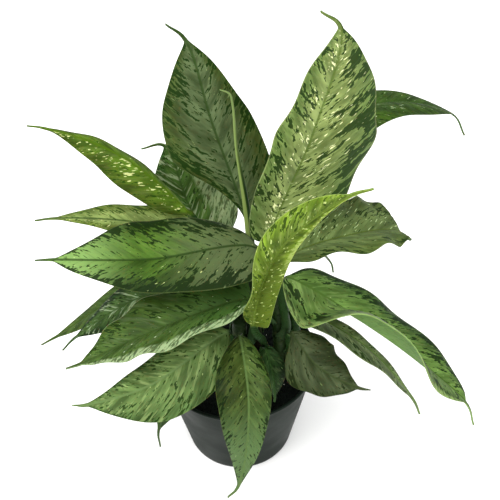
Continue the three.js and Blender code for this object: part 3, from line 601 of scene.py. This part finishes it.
def blade_section(leaf, s, u, forward_of):
    """Two halves that rise from the midrib and bend back toward the margin."""
    t = min((s - 2) / 2, 1)
    right = u > 0
    share = np.abs(u)
    lag = np.where(right, HALF_LAG, 0)

    def ripple(size, count, start):
        return size * np.sin(2 * math.pi * (count * t + start) + lag)

    def of_half(pair):
        return np.where(right, pair[1], pair[0])

    forms = zip(leaf.get("peaks", (PEAK, PEAK)), leaf.get("bases", (BASE, BASE)),
                leaf.get("tapers", (TAPER, TAPER)))
    full = of_half([outline(t, *form) for form in forms])
    plain_half = leaf["width"] / 2 * full * (1 + ripple(*leaf.get("scallop", (0, 0, 0))))
    least = mix(TIP_W, TAIL_W, max(0, s - 4))
    half_width = np.hypot(plain_half * of_half(leaf.get("halves", (1, 1))), least)
    fold = [math.radians(a) for a in leaf["fold"]]
    for half, place, spread, extra in leaf.get("lifts", ()):
        fold[half] += math.radians(extra) * math.exp(-(((t - place) / spread) ** 2))
    rise = of_half(fold)
    bend = np.radians(of_half(leaf["droop"]))
    slope = rise - bend * share
    side = np.where(right, 1, -1)
    x = side * half_width * (np.sin(rise) - np.sin(slope)) / bend
    y = half_width * (np.cos(slope) - np.cos(rise)) / bend
    calm = np.minimum(1, full * CALM)
    y = y + ripple(*leaf["wave"]) * share ** 2 * calm
    # swelling between the side veins, fading at midrib and margin
    d = share * half_width
    forward = forward_of(d)
    quilt = QUILT_H * leaf["width"] * np.cos(2 * math.pi * forward / (QUILT_SPACING * leaf["width"]))
    y = y + quilt * smooth(share / 0.3) * smooth((1 - share) / 0.2) * calm
    groove = GROOVE * mix(1, 0.4, t) * np.exp(-((d / GROOVE_SPREAD) ** 2))
    rib = mix(*RIB_H, smooth(t ** RIB_FADE)) * np.exp(-((d / RIB_SPREAD) ** 2))
    thick = mix(LEAF_T_IN, LEAF_T, share) + rib
    lower = (x + np.sin(slope * side) * thick, y - np.cos(slope * side) * thick)
    return np.stack((x, y - groove * calm) + lower), d, forward


def make_leaf(leaf, index):
    cane = CANES[leaf["cane"]]
    foot = np.array(cane["foot"], float)
    axis = unit(np.array(cane["top"]) - foot)
    root = foot + axis * (leaf["at"] - foot[2]) / axis[2]
    az = math.radians(leaf["az"])
    out = square_to(np.array((math.cos(az), math.sin(az), 0)), axis)
    inner = cane["r"] + GAP
    lean = leaf.get("lean", LEAN)
    knots = np.array([root + out * inner, root + out * (inner + lean) + axis * SHEATH_H,
                      leaf["neck"], leaf["mid"], leaf["tip"], leaf["tail"]], float)

    # stations: 0 to 1 sheath, 1 to 2 stalk, 2 to 4 blade, 4 to 5 drip tip
    s = np.concatenate([np.linspace(0, 1, RINGS_SHEATH, endpoint=False),
                        np.linspace(1, 2, RINGS_STALK, endpoint=False),
                        np.linspace(2, 4, RINGS_BLADE, endpoint=False),
                        np.linspace(4, 5, RINGS_TAIL)])
    centre = along(knots, s)
    direction = tangents(knots, s)
    first = RINGS_SHEATH
    middle = RINGS_SHEATH + RINGS_STALK + RINGS_BLADE // 2
    normal = np.zeros_like(centre)
    normal[middle] = square_to(np.array(leaf["face"], float), direction[middle])
    for i in range(middle + 1, len(s)):
        normal[i] = square_to(normal[i - 1], direction[i])
    for i in range(middle - 1, first - 1, -1):
        normal[i] = square_to(normal[i + 1], direction[i])
    # the stalk turns along its length so that its inner face looks at the cane where it leaves it
    want = square_to(-out, direction[first])
    turn = math.atan2(np.dot(np.cross(normal[first], want), direction[first]), np.dot(normal[first], want))
    for i in range(first):
        normal[i] = square_to(-out, direction[i])
    for i in range(first, len(s)):
        angle = turn * (1 - smooth(s[i] - 1))
        normal[i] = normal[i] * math.cos(angle) + np.cross(direction[i], normal[i]) * math.sin(angle)
    side = np.cross(direction, normal)

    blade = s >= 2
    steps = np.linalg.norm(np.diff(centre, axis=0), axis=1)
    reach = np.concatenate([[0], np.cumsum(steps)])
    reach -= reach[first + RINGS_STALK]
    length = reach[np.searchsorted(s, 4)]
    u = np.array([-v for v in reversed(SHARES)] + [0.0] + list(SHARES))

    points, veins, places = [], [], []
    for i, at in enumerate(s):
        def forward_of(d):
            lean_0, lean_1 = VEIN_LEAN
            return (reach[i] - lean_0 * d - VEIN_CURVE * d * d) / (1 + (lean_1 - lean_0) * d / length)

        d = np.abs(u) * 3
        forward = reach[i] - d
        if blade[i]:
            section, d, forward = blade_section(leaf, at, u, forward_of)
            if at < 2 + NECK_BLEND:
                section = mix(stalk_section(2, u), section, smooth((at - 2) / NECK_BLEND))
        elif at >= 1:
            section = stalk_section(at, u)
            if at < 1 + SHEATH_BLEND:
                section = mix(sheath_section(1, u, inner), section, smooth((at - 1) / SHEATH_BLEND))
        else:
            section = sheath_section(at, u, inner)
        x, y, lower_x, lower_y = section
        upper = centre[i] + np.outer(x, side[i]) + np.outer(y, normal[i])
        lower = centre[i] + np.outer(lower_x, side[i]) + np.outer(lower_y, normal[i])
        points += [upper, lower[::-1]]
        t = (at - 2) / 2 if at > 2 else at - 2
        vein = np.stack([d, forward, u * 8], axis=1)
        veins += [vein, vein[::-1]]
        for top, shares in ((1, u), (0, u[::-1])):
            places.append(np.stack([shares, np.full_like(u, t), np.full_like(u, top)], axis=1))

    size = 2 * len(u)
    faces = tube_faces(len(s), size)
    last = (len(s) - 1) * size
    for j in range(len(u) - 1):
        other = size - 1 - j
        faces.append((j, other, other - 1, j + 1))
        faces.append((last + j, last + j + 1, last + other - 1, last + other))
    look = {**LOOK, **LOOKS[leaf["name"]]}
    material = leaf_material(leaf["name"], look, PATTERN_STEP * index, QUILT_SPACING * leaf["width"])
    attributes = (("vein", np.vstack(veins)), ("place", np.vstack(places)))
    add_piece(leaf["name"] + "_fine", np.vstack(points), faces, material, leaf["name"],
              attributes=attributes)


# ---- canes and rolled leaf ------------------------------------------------------------------
CANE_SIDES = 40
CANE_RINGS = 90
NODE_SPACING = 13              # distance between leaf scars
SCAR_DEPTH = 0.5
SCAR_WIDTH = 0.9               # distance over which a scar fades
SCAR_TILT = 1.2                # how far a scar rises and falls round the cane
CANE_INSET = 0.2               # how far the plain skin lies inside the cane's radius
CANE_SWELL = 0.25              # swelling between two scars
CANE_LUMP = 0.15               # height of its small lumps


def make_cane(name, cane, material):
    foot, top, r = np.array(cane["foot"], float), np.array(cane["top"], float), cane["r"]
    points = []
    for i in range(CANE_RINGS + 1):
        f = i / CANE_RINGS
        centre = mix(foot, top, f)
        for j in range(CANE_SIDES):
            a = 2 * math.pi * j / CANE_SIDES
            height = centre[2] + SCAR_TILT * math.sin(a + 0.15 * centre[2])
            place = (height / NODE_SPACING) % 1
            swell = CANE_SWELL * math.sin(math.pi * place)
            scar = SCAR_DEPTH * math.exp(-((min(place, 1 - place) * NODE_SPACING / SCAR_WIDTH) ** 2))
            bump = CANE_LUMP * noise.noise(Vector((math.cos(a) * 1.5, math.sin(a) * 1.5, height / 6)))
            radius = r - CANE_INSET + swell - scar + bump
            points.append(centre + radius * np.array((math.cos(a), math.sin(a), 0)))
    faces = closed_tube_faces(CANE_RINGS + 1, CANE_SIDES)
    add_piece("cane_" + name + "_fine", points, faces, material, "cane_" + name)


SPEAR_SIDES = 36
SPEAR_RINGS = 110
SPEAR_TURNS = 1.4              # how often the open edge of the roll goes round on its way up
SPEAR_STEP = 0.16              # step at that edge, as a share of the radius


def make_spear(material):
    knots = np.array(SPEAR_PATH, float)
    s = np.linspace(0, len(knots) - 1, SPEAR_RINGS)
    centre = along(knots, s)
    direction = tangents(knots, s)
    radii = np.interp(s, range(len(SPEAR_RADII)), SPEAR_RADII)
    points, places = [], []
    normal = np.array((1.0, 0, 0))
    for i in range(SPEAR_RINGS):
        normal = square_to(normal, direction[i])
        third = np.cross(direction[i], normal)
        f = i / (SPEAR_RINGS - 1)
        for j in range(SPEAR_SIDES):
            a = 2 * math.pi * j / SPEAR_SIDES
            from_seam = (j / SPEAR_SIDES - SPEAR_TURNS * f) % 1
            r = radii[i] * (1 - SPEAR_STEP * from_seam)
            points.append(centre[i] + r * (math.cos(a) * normal + math.sin(a) * third))
            places.append((j / SPEAR_SIDES, f, from_seam))
    faces = closed_tube_faces(SPEAR_RINGS, SPEAR_SIDES)
    add_piece("new_leaf_spear_fine", points, faces, material, "new_leaf_spear",
              attributes=(("place", places),))


# ---- pot ------------------------------------------------------------------------------------
POT_SIDES = 160
WALL_RINGS = 24
BEAD_RINGS = 14
BEAD_ARC = (-0.4, 0.9)         # where the bead's round section starts and ends, in half turns
FOOT_STEP = 0.4                # size of the small step in the foot's bevel
DRAIN_SIDES = 40
DRAIN_CUT = 12                 # length of the body that cuts a drainage hole
SHARP_EDGE = 35                # edges bent more than this stay sharp, in degrees


def wall_radius(z):
    """Inside radius of the wall at height z."""
    return mix(POT_R_FOOT, POT_R_TOP, z / POT_H) - POT_WALL


def turned(profile, sides):
    """Points and faces of a body turned from an open profile whose two ends lie on the axis."""
    points = [(0, 0, profile[0][1])]
    for r, z in profile[1:-1]:
        points += circle(r, z, sides)
    points.append((0, 0, profile[-1][1]))
    faces = [tuple(1 + v for v in face) for face in tube_faces(len(profile) - 2, sides)]
    last = len(points) - 1
    start = last - sides
    for j in range(sides):
        k = (j + 1) % sides
        faces.append((0, 1 + k, 1 + j))
        faces.append((last, start + j, start + k))
    return points, faces


def make_pot(material):
    under = POT_H - BEAD_H
    bead = BEAD_H / 2
    wall = [(wall_radius(z) + POT_WALL, z) for z in np.linspace(FOOT_EDGE, under, WALL_RINGS)]
    first, last = BEAD_ARC
    lip = [(RIM_R - bead + bead * math.cos(a), POT_H - bead + bead * math.sin(a))
           for a in np.linspace(first * math.pi, last * math.pi, BEAD_RINGS)]
    profile = [(0, 0), (POT_R_FOOT - FOOT_EDGE, 0), (POT_R_FOOT - FOOT_STEP, FOOT_STEP)] + wall + lip
    profile += [(wall_radius(z), z) for z in (under, SOIL_TOP, POT_H / 2, FLOOR_T)] + [(0, FLOOR_T)]
    points, faces = turned(profile, POT_SIDES)
    pot = add_piece("pot_fine", points, faces, material, "pot")
    for i in range(DRAIN_COUNT):
        a = 2 * math.pi * (i + 0.5) / DRAIN_COUNT
        bpy.ops.mesh.primitive_cylinder_add(
            vertices=DRAIN_SIDES, radius=DRAIN_R * MM, depth=DRAIN_CUT * MM,
            location=(DRAIN_RING * math.cos(a) * MM, DRAIN_RING * math.sin(a) * MM, 0))
        cutter = bpy.context.object
        cut = pot.modifiers.new("drain", "BOOLEAN")
        cut.object = cutter
        cut.operation = "DIFFERENCE"
        bpy.context.view_layer.objects.active = pot
        bpy.ops.object.modifier_apply(modifier=cut.name)
        bpy.data.objects.remove(cutter)
    soften(pot, SHARP_EDGE)


def soften(obj, degrees):
    """Smooth shading, but for edges sharper than the angle."""
    mesh = bmesh.new()
    mesh.from_mesh(obj.data)
    for face in mesh.faces:
        face.smooth = True
    for edge in mesh.edges:
        edge.smooth = len(edge.link_faces) == 2 and edge.calc_face_angle() < math.radians(degrees)
    mesh.to_mesh(obj.data)
    mesh.free()


# ---- potting mix ----------------------------------------------------------------------------
SOIL_SIDES = 220
SOIL_RINGS = 64
WELL_FLOOR = 95.7              # level of the gap round a cane's foot
CRUMBS = 420                   # loose lumps on the surface
PERLITE = 22                   # pale grains among them
CRUMB_SIZES = (1.6, 4.2)
PERLITE_SIZES = (1.2, 2.4)
GRAIN_RING = 71                # grains lie at most this far from the middle
GRAIN_ROOM = 1                 # least distance of a grain from a cane, beyond its own size
GRAIN_RISE = 0.1               # height of its middle over the surface, as a share of its size
CORNER_REACH = 1.9             # distance of an icosahedron's corners from its middle, for edges of 2
GRAIN_SEED = 7
SOIL_BEND_Z = 60               # height of the ring at half the wall
# distances from the middle, and the height of the surface over the mix's level there
SOIL_RADII = (0, 30, 60, 76)
SOIL_RISE = (1.4, 0.4, -1.6, -2.2)
# lumps of three sizes: width, height, and layer of the noise they are taken from
SOIL_LUMPS = ((11, 1.0, 0.5), (4, 0.8, 4.0), (1.7, 0.5, 9.0))


def soil_height(x, y):
    """Level of the mix at a place, with its lumps; the well round each cane's foot is cut where the mix is
    built.
    """
    r = math.hypot(x, y)
    level = np.interp(r, SOIL_RADII, [SOIL_TOP + rise for rise in SOIL_RISE])
    for width, height, layer in SOIL_LUMPS:
        level += height * noise.noise(Vector((x / width, y / width, layer)))
    return level


def cane_gap(x, y):
    """Distance from a place to the nearest cane's skin, at the level of the mix."""
    return min(math.hypot(x - c["foot"][0], y - c["foot"][1]) - c["r"] for c in CANES.values())


def lump(rng, x, y, z, size):
    """Points and faces of one irregular grain."""
    golden = (1 + 5 ** 0.5) / 2
    corners = []
    for a in (-1, 1):
        for b in (-golden, golden):
            corners += [(0, a, b), (a, b, 0), (b, 0, a)]
    stretch = [rng.uniform(0.6, 1.2) for _ in range(3)]
    spin = Matrix.Rotation(rng.uniform(0, 6.28), 3, Vector([rng.uniform(-1, 1) for _ in range(3)]))
    points = []
    for corner in corners:
        p = spin @ Vector([c * s for c, s in zip(corner, stretch)])
        points.append(p * size / 2 / CORNER_REACH * rng.uniform(0.8, 1.1) + Vector((x, y, z)))
    mesh = bmesh.new()
    for p in points:
        mesh.verts.new(p)
    bmesh.ops.convex_hull(mesh, input=mesh.verts)
    mesh.verts.ensure_lookup_table()
    mesh.verts.index_update()
    result = [tuple(v.co) for v in mesh.verts], [tuple(v.index for v in f.verts) for f in mesh.faces]
    mesh.free()
    return result


def scattered(rng, count, sizes, points, faces):
    """Adds grains partly sunk in the surface, clear of wall and canes."""
    made = 0
    while made < count:
        r = GRAIN_RING * math.sqrt(rng.random())
        a = rng.uniform(0, 2 * math.pi)
        x, y = r * math.cos(a), r * math.sin(a)
        size = rng.uniform(*sizes)
        if cane_gap(x, y) < size + GRAIN_ROOM:
            continue
        start = len(points)
        grain_points, grain_faces = lump(rng, x, y, soil_height(x, y) + GRAIN_RISE * size, size)
        points += grain_points
        faces += [tuple(start + v for v in face) for face in grain_faces]
        made += 1


def make_soil(material, pale):
    z0 = FLOOR_T + GAP
    edge = wall_radius(SOIL_TOP) - SOIL_GAP - GAP
    points = [(0, 0, soil_height(0, 0))]
    for i in range(1, SOIL_RINGS + 1):
        for x, y, _ in circle(edge * i / SOIL_RINGS, 0, SOIL_SIDES):
            height = soil_height(x, y) if cane_gap(x, y) > CANE_GAP else WELL_FLOOR
            points.append((x, y, height))
    for z in (SOIL_BEND_Z, z0):
        points += circle(wall_radius(z) - SOIL_GAP, z, SOIL_SIDES)
    rings = SOIL_RINGS + 2
    faces = [(0, 1 + j, 1 + (j + 1) % SOIL_SIDES) for j in range(SOIL_SIDES)]
    faces += [tuple(1 + v for v in reversed(face)) for face in tube_faces(rings, SOIL_SIDES)]
    faces.append(tuple(1 + (rings - 1) * SOIL_SIDES + j for j in reversed(range(SOIL_SIDES))))
    rng = random.Random(GRAIN_SEED)
    scattered(rng, CRUMBS, CRUMB_SIZES, points, faces)
    add_piece("potting_mix_fine", points, faces, material, "potting_mix", smooth_shaded=False)
    points, faces = [], []
    scattered(rng, PERLITE, PERLITE_SIZES, points, faces)
    add_piece("perlite_grains", points, faces, pale, "potting_mix", smooth_shaded=False)


# ---- floor, lights and camera, in metres ----------------------------------------------------
FLOOR_SIZE = 8
FLOOR_DROP = 0.0004            # how far the floor lies below the pot's underside
SKY_STRENGTH = 1.08
AIM = (0, 0, 0.25)             # what the lights point at


def make_floor():
    bpy.ops.mesh.primitive_plane_add(size=FLOOR_SIZE, location=(0, 0, -FLOOR_DROP))
    floor = bpy.context.object
    floor.name = "studio_floor"
    g = Graph("studio_floor")
    grain = g.noise(g.object_place(), (3, 3, 3), 2)
    floor.data.materials.append(g.finish(g.blend(grain, 0xfbfbfb, 0xffffff), Roughness=0.9))


def add_light(name, place, target, size, power, colour):
    data = bpy.data.lights.new(name, "AREA")
    data.shape = "DISK"
    data.size = size
    data.energy = power
    data.color = colour
    light = bpy.data.objects.new(name, data)
    light.location = place
    aim = Vector(target) - Vector(place)
    light.rotation_euler = aim.to_track_quat("-Z", "Y").to_euler()
    bpy.context.collection.objects.link(light)


def make_lights():
    world = bpy.data.worlds.new("studio")
    world.use_nodes = True
    sky = world.node_tree.nodes["Background"]
    sky.inputs["Color"].default_value = (1.0, 1.0, 1.0, 1.0)
    sky.inputs["Strength"].default_value = SKY_STRENGTH
    bpy.context.scene.world = world
    add_light("key", (-0.9, -0.8, 2.5), AIM, 2.4, 88, (1.0, 0.99, 0.97))
    add_light("fill", (1.6, -1.8, 1.4), AIM, 1.8, 28, (1.0, 1.0, 1.0))
    bpy.context.scene.view_settings.view_transform = "Standard"


FOCAL_PX = 800                 # the photograph's focal length, in its own pixels
FRAME_PX = 500                 # its width and height
SENSOR = 36                    # camera sensor width, in millimetres
CAMERA_AT = (0.015, -0.518, 0.745)
CAMERA_DOWN = 43.0             # how far the camera looks down, in degrees
CAMERA_ROLL = -1.3             # how far it leans sideways, in degrees


def make_camera():
    data = bpy.data.cameras.new("camera")
    data.sensor_width = SENSOR
    data.sensor_fit = "HORIZONTAL"
    data.lens = SENSOR * FOCAL_PX / FRAME_PX
    data.clip_start = 0.01
    camera = bpy.data.objects.new("camera", data)
    tilt = Matrix.Rotation(math.radians(90 - CAMERA_DOWN), 4, "X")
    roll = Matrix.Rotation(math.radians(CAMERA_ROLL), 4, "Z")
    camera.matrix_world = Matrix.Translation(CAMERA_AT) @ tilt @ roll
    bpy.context.collection.objects.link(camera)
    bpy.context.scene.camera = camera


make_camera()
make_lights()
make_floor()
for number, row in enumerate(LEAVES):
    make_leaf(row, number)
bark = cane_material()
for cane_name, cane_size in CANES.items():
    make_cane(cane_name, cane_size, bark)
make_spear(spear_material())
make_pot(pot_material())
make_soil(soil_material(), perlite_material())
